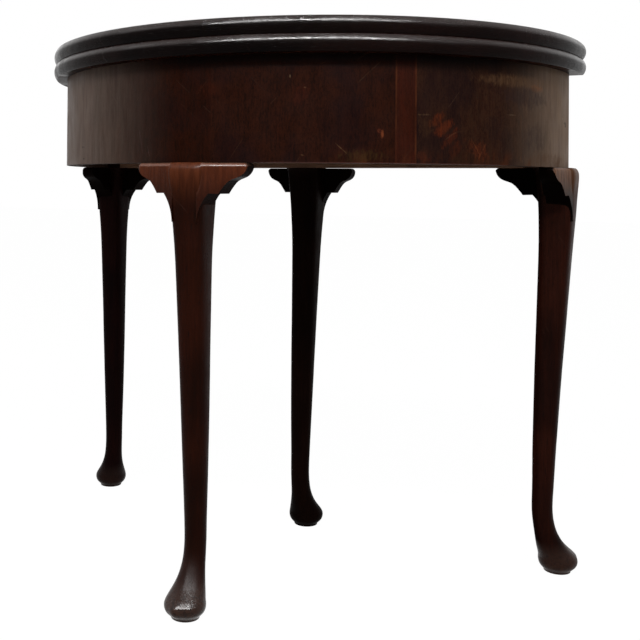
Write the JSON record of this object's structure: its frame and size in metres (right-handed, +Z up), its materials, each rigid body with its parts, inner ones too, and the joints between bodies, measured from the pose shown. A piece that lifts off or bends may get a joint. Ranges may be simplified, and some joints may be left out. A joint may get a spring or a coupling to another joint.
{
  "type": "folding card table",
  "caption": "Half-round fold-over card table with a plain veneered frieze, slender cabriole legs on pad feet and a swinging gate leg at the back.",
  "frame": {"origin": "centre of the closed table's plan, on the floor under the feet", "axes": "+Z up, the curved front faces -Y, the hinged straight back edge is towards +Y, the width runs along X"},
  "size_m": [0.8, 0.431, 0.72],
  "materials": {
    "leg_mahogany": "polished",
    "veneer_mahogany": "worn polish",
    "top_mahogany": "polished",
    "carcase_pine": "raw",
    "rail_beech": "raw",
    "peg_oak": "raw",
    "baize": "napped",
    "hinge_brass": "dull",
    "iron": "dull"
  },
  "bodies": {
    "frame": {"front_leg": "leg_mahogany", "right_leg": "leg_mahogany", "left_leg": "leg_mahogany", "front_leg_left_ear": "leg_mahogany", "front_leg_right_ear": "leg_mahogany", "right_leg_front_ear": "leg_mahogany", "right_leg_back_ear": "leg_mahogany", "left_leg_front_ear": "leg_mahogany", "left_leg_back_ear": "leg_mahogany", "left_frieze_block_1": "carcase_pine", "left_frieze_block_2": "carcase_pine", "left_frieze_block_3": "carcase_pine", "right_frieze_block_1": "carcase_pine", "right_frieze_block_2": "carcase_pine", "right_frieze_block_3": "carcase_pine", "inner_back_rail": "carcase_pine", "cross_brace": "carcase_pine", "glue_blocks": "carcase_pine", "fixing_blocks": "carcase_pine", "frieze_veneer_1": "veneer_mahogany", "frieze_veneer_2": "veneer_mahogany", "frieze_veneer_3": "veneer_mahogany", "frieze_veneer_4": "veneer_mahogany", "frieze_veneer_5": "veneer_mahogany", "frieze_veneer_6": "veneer_mahogany", "frieze_veneer_7": "veneer_mahogany", "left_outer_rail": "rail_beech", "right_outer_rail": "rail_beech", "lower_leaf": "top_mahogany", "lower_lining": "baize", "left_hinge_lower_plate": "hinge_brass", "middle_hinge_lower_plate": "hinge_brass", "right_hinge_lower_plate": "hinge_brass", "hinge_pins": "hinge_brass", "lower_hinge_screws": "hinge_brass", "knuckle_pin": "iron", "fixing_screws": "iron", "corner_pegs": "peg_oak"},
    "gate": {"gate_leg": "leg_mahogany", "gate_leg_left_ear": "leg_mahogany", "gate_leg_right_ear": "leg_mahogany", "fly_rail": "rail_beech", "gate_pegs": "peg_oak"},
    "flap": {"upper_leaf": "top_mahogany", "upper_lining": "baize", "upper_hinge_screws": "hinge_brass", "left_hinge_upper_plate": "hinge_brass", "middle_hinge_upper_plate": "hinge_brass", "right_hinge_upper_plate": "hinge_brass"}
  },
  "joints": [
    {"name": "leaf_fold", "type": "hinge", "parent": "frame", "child": "flap", "pos_m": [0, 0.21231, 0.69885], "axis": [-1, 0, 0], "range_deg": [0, 180]},
    {"name": "gate_swing", "type": "hinge", "parent": "frame", "child": "gate", "pos_m": [0.2, 0.17931, 0.6], "axis": [0, 0, -1], "range_deg": [0, 90]}
  ]
}
